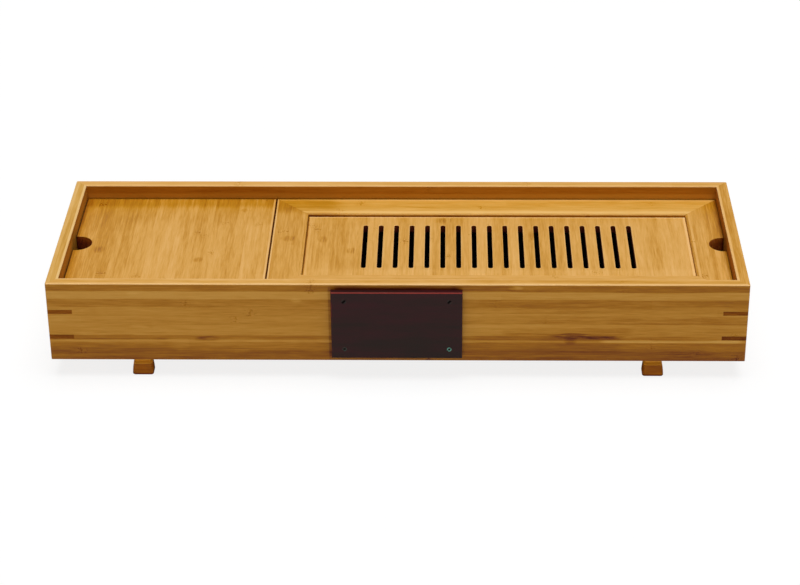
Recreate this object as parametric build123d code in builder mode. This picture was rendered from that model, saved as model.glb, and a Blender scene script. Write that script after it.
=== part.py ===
from build123d import *
import os

# Gongfu tea table: a long, low bamboo case on four short feet. A lid at the left covers dry
# storage, and a slotted tray at the right drains into a lift-out water pan.
# Millimetres. X runs along the case, the front faces -Y, and Z = 0 is the table it stands on.

os.makedirs("parts", exist_ok=True)

# ---------------------------------------------------------------- driving dimensions

# Case
case_length = 700
case_width = 230
board_height = 87
board_thickness = 12
corner_radius = 1.5       # on the case's four upright corners
arris_radius = 0.8        # on the rim's long edges
bottom_thickness = 8
rebate_depth = 6          # how far the bottom board reaches into each side board

# Keys across the mitred corners
key_thickness = 4.6
key_reach = 25            # along each face of the case, a little past the mitre's inner end
key_drop = 32             # from the rim down to the middle of an upper key
key_rise = 26.5           # from the case's underside up to the middle of a lower key

# Lid, tray and what carries them
rim_height = 15           # how far the rim stands above lid and tray
top_thickness = 15        # of the lid and of the tray's rails
lid_length = 204
end_clearance = 0.5       # at the case's end boards
side_clearance = 1        # at the front and back boards
joint_gap = 1.2           # between lid and tray
divider_thickness = 12
dado_depth = 3            # of the grooves that hold the divider
ledger_width = 10
ledger_height = 12
easing = 0.5              # taken off the edges that hands touch

# Finger notches: straight sides, then a half-round end
notch_radius = 15
lid_notch_straight = 3.4
tray_notch_straight = 1.4
notch_corner = 1
mouth_limit = 0.8         # the most of a notch's straight side that its cut corner takes

# Draining tray
rail_width = 35
rail_bead = 1.2           # rounding along the rails' inner edge
panel_thickness = 8
panel_drop = 3            # from the rails' face down to the panel's
panel_gap = 0.4           # shadow line between panel and rails
tongue_thickness = 4
tongue_drop = 2           # from the panel's face down to its tongue
tongue_depth = 5
tongue_clearance = 0.2    # above the tongue, for the panel to move with the weather
groove_depth = 6
tenon_length = 16
tenon_width = 14
tenon_thickness = 4
slot_count = 18
slot_width = 5
slot_pitch = 16.25
slot_margin = 20          # from a slot's end to the rails

# Water pan
pan_wall = 2
pan_clearance = 2         # to the ledgers, the divider and the right board
pan_headroom = 9          # between pan and tray
pan_flange = 6
pan_lip = 4
pan_corner_radius = 18
pan_floor_bevel = 4       # inside, where floor and wall meet
pan_draft = 5             # degrees

# Plate on the front board, and its screws
plate_length = 131
plate_margin = 5.75       # above and below the plate
plate_thickness = 6
plate_arris = 0.8
plate_screw_end = 13      # from the plate's ends to a screw
plate_screw_edge = 10.5   # from the plate's long edges to a screw
plate_shank_radius = 1.5
plate_head_radius = 2.4
plate_screw_bite = 8      # of screw in the front board

# Feet and their screws
foot_height = 21
foot_width = 21.5         # at the sole
foot_depth = 15           # at the sole
foot_neck_width = 15.4    # under the case
foot_lean = 1.6           # how far the face leans back from sole to case
foot_overhang = 91.5      # from the case's end to the middle of a foot
foot_setback = 4.2        # from the case's face to the foot
foot_corner = 1.5         # bevel on the four upright corners
foot_toe = 1              # bevel round the sole
shoulder_rise = 13.5      # from the sole up to the shoulder across a foot's face
shoulder_depth = 2        # how far the shoulder is cut in, at 45 degrees
foot_bore_radius = 4.2
foot_bore_depth = 9
foot_head_radius = 3.6
foot_head_height = 2.4
foot_shank_radius = 1.9
foot_screw_bite = 6       # of screw in the bottom board

# Screws
screw_fit = 0.05          # between a shank and its hole
drive_width = 0.8
drive_depth = 0.8

# ---------------------------------------------------------------- places worked out from them

# The plate stands proud of the front, so the case sits half its thickness behind the middle.
case_y = plate_thickness / 2
front_face = case_y - case_width / 2
inner_length = case_length - 2 * board_thickness
inner_width = case_width - 2 * board_thickness
inner_left = -inner_length / 2
inner_right = inner_length / 2

case_base = foot_height
floor_top = case_base + bottom_thickness
rim_top = case_base + board_height
top_face = rim_top - rim_height
seat = top_face - top_thickness

lid_left = inner_left + end_clearance
lid_x = lid_left + lid_length / 2
tray_left = lid_left + lid_length + joint_gap
tray_right = inner_right - end_clearance
tray_x = (tray_left + tray_right) / 2
tray_length = tray_right - tray_left
top_width = inner_width - 2 * side_clearance
joint_x = tray_left - joint_gap / 2
divider_height = seat - floor_top

recess_length = tray_length - 2 * rail_width
recess_width = top_width - 2 * rail_width
panel_bottom = top_face - panel_drop - panel_thickness
tongue_bottom = top_face - panel_drop - tongue_drop - tongue_thickness

bottom_length = inner_length + 2 * rebate_depth
bottom_width = inner_width + 2 * rebate_depth
divider_length = inner_width + 2 * dado_depth

plate_height = board_height - 2 * plate_margin
plate_z = case_base + board_height / 2
plate_screw_x = plate_length / 2 - plate_screw_end
plate_screw_z = plate_height / 2 - plate_screw_edge
front_plane = Plane(origin=(0, front_face, plate_z), x_dir=(1, 0, 0), z_dir=(0, -1, 0))
plate_front_plane = front_plane.offset(plate_thickness)

foot_x = case_length / 2 - foot_overhang
foot_y = case_width / 2 - foot_setback - foot_depth / 2
foot_places = {
    "front_left": (-foot_x, case_y - foot_y),
    "front_right": (foot_x, case_y - foot_y),
    "back_left": (-foot_x, case_y + foot_y),
    "back_right": (foot_x, case_y + foot_y),
}

# ---------------------------------------------------------------- case outline

# The finished faces of the four walls: every board and key is planed back to them.
with BuildPart() as case_walls:
    with BuildSketch(Plane.XY.offset(case_base)):
        with Locations((0, case_y)):
            RectangleRounded(case_length, case_width, corner_radius)
    extrude(amount=board_height)
    fillet(case_walls.faces().sort_by(Axis.Z)[-1].edges(), arris_radius)
    with BuildSketch(Plane.XY.offset(case_base)):
        with Locations((0, case_y)):
            Rectangle(inner_length, inner_width)
    extrude(amount=board_height, mode=Mode.SUBTRACT)

# ---------------------------------------------------------------- corner keys

# A key fills a saw cut across the mitre, so in plan it is a right triangle in the corner. The cut
# breaks through inside, where the key is trimmed flush.
key_levels = {"upper": rim_top - key_drop, "lower": case_base + key_rise}
case_keys = {}

for level, key_z in key_levels.items():
    for row, side_y in (("front", -1), ("back", 1)):
        for column, side_x in (("left", -1), ("right", 1)):
            corner_x = side_x * case_length / 2
            corner_y = case_y + side_y * case_width / 2
            with BuildPart() as key:
                with BuildSketch(Plane.XY.offset(key_z - key_thickness / 2)):
                    with BuildLine():
                        Polyline(
                            (corner_x, corner_y),
                            (corner_x - side_x * key_reach, corner_y),
                            (corner_x, corner_y - side_y * key_reach),
                            close=True,
                        )
                    make_face()
                extrude(amount=key_thickness)
                add(case_walls.part, mode=Mode.INTERSECT)
            key_name = f"corner_key_{row}_{column}_{level}"
            key.part.label = key_name
            export_step(key.part, f"parts/{key_name}.step")
            case_keys[key_name] = key.part

# ---------------------------------------------------------------- bottom board and divider

with BuildPart() as bottom_board:
    with BuildSketch(Plane.XY.offset(case_base)):
        with Locations((0, case_y)):
            Rectangle(bottom_length, bottom_width)
    extrude(amount=bottom_thickness)
    # Pilot holes for the foot screws, from below
    with Locations(*[(x, y, case_base) for x, y in foot_places.values()]):
        Cylinder(
            foot_shank_radius + screw_fit,
            foot_screw_bite,
            align=(Align.CENTER, Align.CENTER, Align.MIN),
            mode=Mode.SUBTRACT,
        )
bottom_board.part.label = "bottom_board"
export_step(bottom_board.part, "parts/bottom_board.step")

with BuildPart() as divider:
    with BuildSketch(Plane.XY.offset(floor_top)):
        with Locations((joint_x, case_y)):
            Rectangle(divider_thickness, divider_length)
    extrude(amount=divider_height)
divider.part.label = "divider"
export_step(divider.part, "parts/divider.step")

# ---------------------------------------------------------------- the four boards of the case

# Each board is a mitred plank, rebated for the bottom and cut for the divider and the keys.
for name, side in (("front_board", -1), ("back_board", 1)):
    outer_y = case_y + side * case_width / 2
    inner_y = outer_y - side * board_thickness
    with BuildPart() as board:
        with BuildSketch(Plane.XY.offset(case_base)):
            with BuildLine():
                Polyline(
                    (-case_length / 2, outer_y),
                    (case_length / 2, outer_y),
                    (inner_right, inner_y),
                    (inner_left, inner_y),
                    close=True,
                )
            make_face()
        extrude(amount=board_height)
        rim_edges = board.edges().filter_by(Axis.X).group_by(Axis.Z)[-1]
        fillet(rim_edges.sort_by(Axis.Y)[0 if side > 0 else -1], arris_radius)
        with BuildSketch(Plane.XY.offset(case_base)):
            with Locations((0, case_y)):
                Rectangle(bottom_length, bottom_width)
        extrude(amount=bottom_thickness, mode=Mode.SUBTRACT)
        with BuildSketch(Plane.XY.offset(floor_top)):
            with Locations((joint_x, case_y)):
                Rectangle(divider_thickness, divider_length)
        extrude(amount=divider_height, mode=Mode.SUBTRACT)
        add(case_walls.part, mode=Mode.INTERSECT)
        add(case_keys.values(), mode=Mode.SUBTRACT)
        if name == "front_board":
            with Locations(front_plane):
                with GridLocations(2 * plate_screw_x, 2 * plate_screw_z, 2, 2):
                    Hole(plate_shank_radius + screw_fit, plate_screw_bite)
    board.part.label = name
    export_step(board.part, f"parts/{name}.step")

for name, side in (("left_end_board", -1), ("right_end_board", 1)):
    outer_x = side * case_length / 2
    inner_x = outer_x - side * board_thickness
    with BuildPart() as board:
        with BuildSketch(Plane.XY.offset(case_base)):
            with BuildLine():
                Polyline(
                    (outer_x, case_y - case_width / 2),
                    (outer_x, case_y + case_width / 2),
                    (inner_x, case_y + inner_width / 2),
                    (inner_x, case_y - inner_width / 2),
                    close=True,
                )
            make_face()
        extrude(amount=board_height)
        rim_edges = board.edges().filter_by(Axis.Y).group_by(Axis.Z)[-1]
        fillet(rim_edges.sort_by(Axis.X)[0 if side > 0 else -1], arris_radius)
        with BuildSketch(Plane.XY.offset(case_base)):
            with Locations((0, case_y)):
                Rectangle(bottom_length, bottom_width)
        extrude(amount=bottom_thickness, mode=Mode.SUBTRACT)
        add(case_walls.part, mode=Mode.INTERSECT)
        add(case_keys.values(), mode=Mode.SUBTRACT)
    board.part.label = name
    export_step(board.part, f"parts/{name}.step")

# ---------------------------------------------------------------- ledgers

# Strips glued to the front and back boards. Lid and tray lie on them and on the divider.
ledger_spans = {
    "storage": (inner_left, joint_x - divider_thickness / 2),
    "tray": (joint_x + divider_thickness / 2, inner_right),
}

for place, (start, end) in ledger_spans.items():
    for row, side in (("front", -1), ("back", 1)):
        with BuildPart() as ledger:
            with BuildSketch(Plane.XY.offset(seat - ledger_height)):
                with Locations(((start + end) / 2, case_y + side * (inner_width - ledger_width) / 2)):
                    Rectangle(end - start, ledger_width)
            extrude(amount=ledger_height)
            lower_edges = ledger.edges().filter_by(Axis.X).group_by(Axis.Z)[0]
            chamfer(lower_edges.sort_by(Axis.Y)[0 if side > 0 else -1], easing)
        ledger_name = f"{place}_ledger_{row}"
        ledger.part.label = ledger_name
        export_step(ledger.part, f"parts/{ledger_name}.step")

# ---------------------------------------------------------------- storage lid

with BuildPart() as storage_lid:
    with BuildSketch(Plane.XY.offset(seat)):
        with Locations((lid_x, case_y)):
            Rectangle(lid_length, top_width)
        with Locations((lid_left + lid_notch_straight, case_y)):
            Circle(notch_radius, mode=Mode.SUBTRACT)
        with Locations((lid_left, case_y)):
            Rectangle(2 * lid_notch_straight, 2 * notch_radius, mode=Mode.SUBTRACT)
    extrude(amount=top_thickness)
    upright_edges = storage_lid.edges().filter_by(Axis.Z)
    corner_edges = upright_edges.group_by(Axis.X)[0] + upright_edges.group_by(Axis.X)[-1]
    chamfer(corner_edges, min(notch_corner, mouth_limit * lid_notch_straight))
    chamfer(storage_lid.faces().sort_by(Axis.Z)[-1].edges(), easing)
storage_lid.part.label = "storage_lid"
export_step(storage_lid.part, "parts/storage_lid.step")

# ---------------------------------------------------------------- slotted panel

with BuildPart() as slotted_panel:
    with BuildSketch(Plane.XY.offset(panel_bottom)):
        with Locations((tray_x, case_y)):
            Rectangle(recess_length - 2 * panel_gap, recess_width - 2 * panel_gap)
    extrude(amount=panel_thickness)
    chamfer(slotted_panel.faces().sort_by(Axis.Z)[-1].edges(), easing)
    with BuildSketch(Plane.XY.offset(tongue_bottom)):
        with Locations((tray_x, case_y)):
            Rectangle(recess_length + 2 * tongue_depth, recess_width + 2 * tongue_depth)
    extrude(amount=tongue_thickness)
    with BuildSketch(Plane.XY.offset(panel_bottom)):
        with Locations((tray_x, case_y)):
            with GridLocations(slot_pitch, 0, slot_count, 1):
                SlotOverall(recess_width - 2 * slot_margin, slot_width, rotation=90)
    extrude(amount=panel_thickness, mode=Mode.SUBTRACT)
slotted_panel.part.label = "slotted_panel"
export_step(slotted_panel.part, "parts/slotted_panel.step")

# ---------------------------------------------------------------- loose tenons in the tray's mitres

tenon_places = {
    "front_left": (tray_left + rail_width / 2, case_y - top_width / 2 + rail_width / 2, -45),
    "front_right": (tray_right - rail_width / 2, case_y - top_width / 2 + rail_width / 2, 45),
    "back_left": (tray_left + rail_width / 2, case_y + top_width / 2 - rail_width / 2, 45),
    "back_right": (tray_right - rail_width / 2, case_y + top_width / 2 - rail_width / 2, -45),
}
tray_tenons = []

for corner, (tenon_x, tenon_y, turn) in tenon_places.items():
    with BuildPart() as tenon:
        with BuildSketch(Plane.XY.offset(seat + (top_thickness - tenon_thickness) / 2)):
            with Locations((tenon_x, tenon_y)):
                Rectangle(tenon_length, tenon_width, rotation=turn)
        extrude(amount=tenon_thickness)
    tenon_name = f"tray_tenon_{corner}"
    tenon.part.label = tenon_name
    export_step(tenon.part, f"parts/{tenon_name}.step")
    tray_tenons.append(tenon.part)

# ---------------------------------------------------------------- tray rails

# The groove runs round the recess, a little deeper and taller than the panel's tongue.
with BuildPart() as groove:
    with BuildSketch(Plane.XY.offset(tongue_bottom)):
        with Locations((tray_x, case_y)):
            Rectangle(recess_length + 2 * groove_depth, recess_width + 2 * groove_depth)
    extrude(amount=tongue_thickness + tongue_clearance)

for name, side in (("tray_rail_front", -1), ("tray_rail_back", 1)):
    outer_y = case_y + side * top_width / 2
    inner_y = outer_y - side * rail_width
    with BuildPart() as rail:
        with BuildSketch(Plane.XY.offset(seat)):
            with BuildLine():
                Polyline(
                    (tray_left, outer_y),
                    (tray_right, outer_y),
                    (tray_right - rail_width, inner_y),
                    (tray_left + rail_width, inner_y),
                    close=True,
                )
            make_face()
        extrude(amount=top_thickness)
        long_edges = rail.edges().filter_by(Axis.X).group_by(Axis.Z)[-1].sort_by(Axis.Y)
        if side > 0:
            long_edges = long_edges[::-1]
        chamfer(long_edges[0], easing)
        fillet(long_edges[-1], rail_bead)
        add(groove.part, mode=Mode.SUBTRACT)
        add(tray_tenons, mode=Mode.SUBTRACT)
    rail.part.label = name
    export_step(rail.part, f"parts/{name}.step")

for name, side in (("tray_rail_left", -1), ("tray_rail_right", 1)):
    outer_x = tray_right if side > 0 else tray_left
    inner_x = outer_x - side * rail_width
    with BuildPart() as rail:
        with BuildSketch(Plane.XY.offset(seat)):
            with BuildLine():
                Polyline(
                    (outer_x, case_y - top_width / 2),
                    (outer_x, case_y + top_width / 2),
                    (inner_x, case_y + top_width / 2 - rail_width),
                    (inner_x, case_y - top_width / 2 + rail_width),
                    close=True,
                )
            make_face()
            if name == "tray_rail_right":
                with Locations((outer_x - tray_notch_straight, case_y)):
                    Circle(notch_radius, mode=Mode.SUBTRACT)
                with Locations((outer_x, case_y)):
                    Rectangle(2 * tray_notch_straight, 2 * notch_radius, mode=Mode.SUBTRACT)
        extrude(amount=top_thickness)
        if name == "tray_rail_right":
            mouth_edges = rail.edges().filter_by(Axis.Z).group_by(Axis.X)[-1].sort_by(Axis.Y)[1:-1]
            chamfer(mouth_edges, min(notch_corner, mouth_limit * tray_notch_straight))
        # Across the rail lie its bead, its outer edge with the notch, and at its ends the mitres
        top_edges = rail.faces().sort_by(Axis.Z)[-1].edges().sort_by(Axis.Y)[1:-1].sort_by(Axis.X)
        if side > 0:
            top_edges = top_edges[::-1]
        fillet(top_edges[-1], rail_bead)
        chamfer(top_edges[:-1], easing)
        add(groove.part, mode=Mode.SUBTRACT)
        add(tray_tenons, mode=Mode.SUBTRACT)
    rail.part.label = name
    export_step(rail.part, f"parts/{name}.step")

# ---------------------------------------------------------------- water pan

# A drafted tub with a flange that is turned down round its edge. It stands on the bottom board.
pan_left = joint_x + divider_thickness / 2 + pan_clearance
pan_right = inner_right - pan_clearance
pan_x = (pan_left + pan_right) / 2
pan_length = pan_right - pan_left
pan_width = inner_width - 2 * (ledger_width + pan_clearance)
pan_top = seat - pan_headroom
tub_length = pan_length - 2 * pan_flange
tub_width = pan_width - 2 * pan_flange

# The tub's inside, a wall's thickness in from its outside and up from its floor
with BuildPart() as pan_hollow:
    with BuildSketch(Plane.XY.offset(pan_top)):
        with Locations((pan_x, case_y)):
            RectangleRounded(
                tub_length - 2 * pan_wall,
                tub_width - 2 * pan_wall,
                pan_corner_radius - pan_wall,
            )
    extrude(amount=-(pan_top - floor_top - pan_wall), taper=pan_draft)
    chamfer(pan_hollow.faces().sort_by(Axis.Z)[0].edges(), pan_floor_bevel)

with BuildPart() as water_pan:
    with BuildSketch(Plane.XY.offset(pan_top)):
        with Locations((pan_x, case_y)):
            RectangleRounded(tub_length, tub_width, pan_corner_radius)
    extrude(amount=-(pan_top - floor_top), taper=pan_draft)
    chamfer(water_pan.faces().sort_by(Axis.Z)[0].edges(), pan_floor_bevel - pan_wall)
    with BuildSketch(Plane.XY.offset(pan_top)):
        with Locations((pan_x, case_y)):
            RectangleRounded(pan_length, pan_width, pan_corner_radius + pan_flange)
    extrude(amount=-pan_wall)
    add(pan_hollow.part, mode=Mode.SUBTRACT)
    with BuildSketch(Plane.XY.offset(pan_top)):
        with Locations((pan_x, case_y)):
            RectangleRounded(pan_length, pan_width, pan_corner_radius + pan_flange)
            RectangleRounded(
                pan_length - 2 * pan_wall,
                pan_width - 2 * pan_wall,
                pan_corner_radius + pan_flange - pan_wall,
                mode=Mode.SUBTRACT,
            )
    extrude(amount=-(pan_wall + pan_lip))
water_pan.part.label = "water_pan"
export_step(water_pan.part, "parts/water_pan.step")

# ---------------------------------------------------------------- plate on the front

with BuildPart() as front_plate:
    with BuildSketch(front_plane):
        Rectangle(plate_length, plate_height)
    extrude(amount=plate_thickness)
    chamfer(front_plate.faces().sort_by(Axis.Y)[0].edges(), plate_arris)
    with Locations(plate_front_plane):
        with GridLocations(2 * plate_screw_x, 2 * plate_screw_z, 2, 2):
            CounterSinkHole(
                plate_shank_radius + screw_fit,
                plate_head_radius + screw_fit,
                counter_sink_angle=90,
            )
front_plate.part.label = "front_plate"
export_step(front_plate.part, "parts/front_plate.step")

# One countersunk screw along -Z from its head, with a slot across the head
plate_screw_length = plate_thickness + plate_screw_bite
plate_head_depth = plate_head_radius - plate_shank_radius

with BuildPart() as plate_screw:
    with BuildSketch(Plane.XZ):
        with BuildLine():
            Polyline(
                (0, 0),
                (plate_head_radius, 0),
                (plate_shank_radius, -plate_head_depth),
                (plate_shank_radius, -plate_screw_length),
                (0, -plate_screw_length),
                close=True,
            )
        make_face()
    revolve(axis=Axis.Z)
    with BuildSketch(Plane.XY):
        Rectangle(2 * plate_head_radius, drive_width, rotation=45)
    extrude(amount=-drive_depth, mode=Mode.SUBTRACT)

with BuildPart() as plate_screws:
    with Locations(plate_front_plane):
        with GridLocations(2 * plate_screw_x, 2 * plate_screw_z, 2, 2):
            add(plate_screw.part)
plate_screws.part.label = "plate_screws"
export_step(plate_screws.part, "parts/plate_screws.step")

# ---------------------------------------------------------------- feet

# A foot narrows from its sole up to the case. Its back is upright, its face leans back, and above
# a shoulder the face is cut in.
for corner, (x, y) in foot_places.items():
    inward = 1 if y < case_y else -1
    face_y = y - inward * foot_depth / 2
    back_y = y + inward * foot_depth / 2
    shoulder_y = face_y + inward * foot_lean * shoulder_rise / foot_height
    with BuildPart() as foot:
        with BuildSketch(Plane.XZ.offset(-y)):
            with BuildLine():
                Polyline(
                    (x - foot_width / 2, 0),
                    (x + foot_width / 2, 0),
                    (x + foot_neck_width / 2, foot_height),
                    (x - foot_neck_width / 2, foot_height),
                    close=True,
                )
            make_face()
        extrude(amount=foot_depth / 2, both=True)
        with BuildSketch(Plane.YZ.offset(x)):
            with BuildLine():
                Polyline(
                    (face_y, 0),
                    (back_y, 0),
                    (back_y, foot_height),
                    (face_y + inward * foot_lean, foot_height),
                    close=True,
                )
            make_face()
        extrude(amount=foot_width / 2, both=True, mode=Mode.INTERSECT)
        chamfer(foot.edges().filter_by(lambda edge: abs(edge.tangent_at(0).Z) > 0.5), foot_corner)
        with BuildSketch(Plane.YZ.offset(x)):
            with BuildLine():
                Polyline(
                    (shoulder_y, shoulder_rise),
                    (shoulder_y + inward * shoulder_depth, shoulder_rise + shoulder_depth),
                    (shoulder_y + inward * shoulder_depth, foot_height),
                    (face_y, foot_height),
                    (face_y, shoulder_rise),
                    close=True,
                )
            make_face()
        extrude(amount=foot_width / 2, both=True, mode=Mode.SUBTRACT)
        chamfer(foot.faces().sort_by(Axis.Z)[0].edges(), foot_toe)
        with Locations(Plane(origin=(x, y, 0), z_dir=(0, 0, -1))):
            CounterBoreHole(foot_shank_radius + screw_fit, foot_bore_radius, foot_bore_depth)
    foot.part.label = f"foot_{corner}"
    export_step(foot.part, f"parts/foot_{corner}.step")

# One cheese-head screw along +Z from under its head, with a slot across the head
foot_screw_length = foot_height - foot_bore_depth + foot_screw_bite

with BuildPart() as foot_screw:
    Cylinder(
        foot_head_radius,
        foot_head_height,
        align=(Align.CENTER, Align.CENTER, Align.MAX),
    )
    Cylinder(
        foot_shank_radius,
        foot_screw_length,
        align=(Align.CENTER, Align.CENTER, Align.MIN),
    )
    with BuildSketch(Plane.XY.offset(-foot_head_height)):
        Rectangle(2 * foot_head_radius, drive_width)
    extrude(amount=drive_depth, mode=Mode.SUBTRACT)

with BuildPart() as foot_screws:
    with Locations(*[(x, y, foot_bore_depth) for x, y in foot_places.values()]):
        add(foot_screw.part)
foot_screws.part.label = "foot_screws"
export_step(foot_screws.part, "parts/foot_screws.step")
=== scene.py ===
# %% [markdown]
# # A bamboo gongfu tea table
# The table is a long box of laminated bamboo with a rim. A plain lid covers dry storage at the left,
# and a slotted tray at the right drains into a pan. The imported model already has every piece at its
# real size and place. This lesson gives the pieces their finish: bamboo that shows its strips and
# knuckles, a dark wood plate and small screws. It then makes new skins for the pieces whose rounded
# edges the hand and the light meet, and sets up the soft light that makes them read.

import math

import bmesh
import bpy
import numpy as np
from mathutils import Matrix, Vector


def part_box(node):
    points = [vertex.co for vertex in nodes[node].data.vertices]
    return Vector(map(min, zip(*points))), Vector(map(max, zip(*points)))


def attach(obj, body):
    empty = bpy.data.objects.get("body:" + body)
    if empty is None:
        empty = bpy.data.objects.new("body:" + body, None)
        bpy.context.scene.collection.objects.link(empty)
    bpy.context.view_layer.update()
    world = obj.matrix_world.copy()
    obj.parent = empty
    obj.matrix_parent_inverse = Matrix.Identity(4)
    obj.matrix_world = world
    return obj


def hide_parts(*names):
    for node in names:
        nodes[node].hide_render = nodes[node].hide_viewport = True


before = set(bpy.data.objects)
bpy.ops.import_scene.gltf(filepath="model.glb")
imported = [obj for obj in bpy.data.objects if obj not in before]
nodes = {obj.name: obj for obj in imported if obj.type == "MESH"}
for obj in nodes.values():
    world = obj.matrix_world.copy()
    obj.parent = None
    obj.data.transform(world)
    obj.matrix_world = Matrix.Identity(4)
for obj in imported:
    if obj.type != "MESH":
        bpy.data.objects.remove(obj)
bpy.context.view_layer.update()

# %% [markdown]
# ## Camera
# A long lens from well back keeps the long box from looking wedge-shaped, as a catalogue picture
# would. Euler angles would place it too, but a pitch, a yaw and a roll are easier to think about, so
# the camera is rolled, tipped up from looking down, and turned, in that order.

# %% Camera
lens_mm = 104.195
sensor_mm = 36
camera_place = Vector((0.04979, -2.11888, 1.21823))
camera_pitch = math.radians(29.137)
camera_yaw = math.radians(-1.322)
camera_roll = math.radians(-0.502)

camera = bpy.data.objects.new("camera", bpy.data.cameras.new("camera"))
bpy.context.scene.collection.objects.link(camera)
camera.data.lens = lens_mm
camera.data.sensor_width = sensor_mm
turned = Matrix.Rotation(-camera_yaw, 4, "Z")
tipped = Matrix.Rotation(math.pi / 2 - camera_pitch, 4, "X")
rolled = Matrix.Rotation(camera_roll, 4, "Z")
camera.matrix_world = Matrix.Translation(camera_place) @ turned @ tipped @ rolled
bpy.context.scene.camera = camera
print("camera distance in metres:", round(camera_place.length, 3))

# %% [markdown]
# ## Arithmetic in a material
# A procedural material is a small calculation at each point of a surface. It could be drawn as a web
# of nodes in the shader editor, but a web of two hundred nodes is hard to read and to change. Here
# what a node gives is wrapped as a Value, and the usual signs of arithmetic on it add the nodes.

# %% Values
def feed(socket, value):
    """Links the socket to a Value, or sets it to a plain number or colour."""
    if isinstance(value, Value):
        socket.id_data.links.new(value.socket, socket)
    else:
        socket.default_value = value


def add_node(tree, kind, inputs=(), **settings):
    """Adds a node of that kind, sets its properties, feeds its inputs, given as (name or number,
    value), and returns what its outputs give."""
    node = tree.nodes.new(kind)
    for name, setting in settings.items():
        setattr(node, name, setting)
    for name, value in inputs:
        feed(node.inputs[name], value)
    return [Value(socket) for socket in node.outputs]


def calc(operation, *values):
    """One Math node, in the tree of the first Value among the values."""
    tree = next(value.tree for value in values if isinstance(value, Value))
    return add_node(tree, "ShaderNodeMath", enumerate(values), operation=operation)[0]


class Value:
    """What a node's output gives at each point of the surface: a number, a point or a colour."""

    def __init__(self, socket):
        self.socket = socket
        self.tree = socket.id_data

    def __add__(self, other):
        return calc("ADD", self, other)

    def __sub__(self, other):
        return calc("SUBTRACT", self, other)

    def __rsub__(self, other):
        return calc("SUBTRACT", other, self)

    def __mul__(self, other):
        return calc("MULTIPLY", self, other)

    def __truediv__(self, other):
        return calc("DIVIDE", self, other)

    def __abs__(self):
        return calc("ABSOLUTE", self)


print("signs for a Value: + - * / abs")

# %% [markdown]
# Beside arithmetic a material needs a few words of its own: noise, chance, a soft step, a colour
# scale and a tint. Points are in millimetres all through, like the sizes on a drawing.

# %% Words for a material
def scaled(point, factors):
    """The point with each of its three coordinates multiplied by its own factor."""
    inputs = ((0, point), (1, factors))
    return add_node(point.tree, "ShaderNodeVectorMath", inputs, operation="MULTIPLY")[0]


def axes_of(point):
    """The point's x, y and z."""
    return add_node(point.tree, "ShaderNodeSeparateXYZ", ((0, point),))


def joined(*values):
    """A point with up to three values as its x, y and z."""
    return add_node(values[0].tree, "ShaderNodeCombineXYZ", enumerate(values))[0]


def noise(point, factors, detail=2.0, roughness=0.5):
    """Smooth noise round 0.5, stretched by the factors: a small one makes it long that way."""
    where = scaled(point, factors)
    inputs = (("Vector", where), ("Scale", 1.0), ("Detail", detail), ("Roughness", roughness))
    return add_node(point.tree, "ShaderNodeTexNoise", inputs)[0]


def chance(*values):
    """Three random numbers from 0 to 1 that depend only on up to three given ones."""
    tree, point = values[0].tree, joined(*values)
    _, colour = add_node(tree, "ShaderNodeTexWhiteNoise", (("Vector", point),), noise_dimensions="3D")
    return add_node(tree, "ShaderNodeSeparateColor", ((0, colour),))


def fade(value, start, end):
    """1 up to start, 0 from end on, and smooth between them."""
    inputs = (("Value", value), ("From Min", start), ("From Max", end), ("To Min", 1.0), ("To Max", 0.0))
    return add_node(value.tree, "ShaderNodeMapRange", inputs, interpolation_type="SMOOTHSTEP")[0]


def ramp(value, stops):
    """A colour that follows the value through (place, colour) stops."""
    colour = add_node(value.tree, "ShaderNodeValToRGB", ((0, value),))[0]
    elements = colour.socket.node.color_ramp.elements
    while len(elements) < len(stops):
        elements.new(0.5)
    for element, (place, stop_colour) in zip(elements, stops):
        element.position = place
        element.color = (*stop_colour, 1.0)
    return colour


def tinted(colour, tint, share):
    """The colour times the tint, as far as the share goes."""
    inputs = ((0, share), (6, colour), (7, (*tint, 1.0)))       # 6 and 7 are its two colours
    return add_node(colour.tree, "ShaderNodeMix", inputs, data_type="RGBA", blend_type="MULTIPLY")[2]


print("words: noise, chance, fade, ramp, tinted")

# %% [markdown]
# Every finish starts and ends alike. It starts with the point of the surface, and ends with a colour,
# a roughness and, on wood, a relief of a tenth of a millimetre that bends the light.

# %% Start and end of a material
relief_height = 0.0001


def new_material(name):
    """A material, its node tree and its Principled shader."""
    material = bpy.data.materials.new(name)
    material.use_nodes = True
    tree = material.node_tree
    return material, tree, next(n for n in tree.nodes if n.type == "BSDF_PRINCIPLED")


def point_of(tree):
    """The surface's point in millimetres."""
    return scaled(Value(tree.nodes.new("ShaderNodeTexCoord").outputs["Object"]), (1000, 1000, 1000))


def coat(shader, colour, rough, shine=None, relief=None, strength=0.0):
    """Gives the shader its colour, roughness, gloss and relief."""
    feed(shader.inputs["Base Color"], colour)
    feed(shader.inputs["Roughness"], rough)
    if shine is not None:
        shader.inputs["Specular IOR Level"].default_value = shine
    if relief is not None:
        inputs = (("Strength", strength), ("Distance", relief_height), ("Height", relief))
        feed(shader.inputs["Normal"], add_node(relief.tree, "ShaderNodeBump", inputs)[0])


def dress(name, material):
    """Gives a CAD node its material."""
    nodes[name].data.materials.clear()
    nodes[name].data.materials.append(material)


print("relief in metres:", relief_height)

# %% [markdown]
# ## Laminated bamboo
# A bamboo board is glued up from split strips about nine millimetres wide. Each strip has its own
# tone, fine fibres that run its whole length, and a knuckle every foot or so, where the fibres swirl
# round a thin dark ring. A flat wood picture would repeat and would stop at each edge. A solid
# pattern, worked out from the point in space, runs over every arris as real wood does, and shows end
# grain on a cut end with no more work.
#
# In the group X runs along the fibres, Y across the strips and Z through the board.

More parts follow.
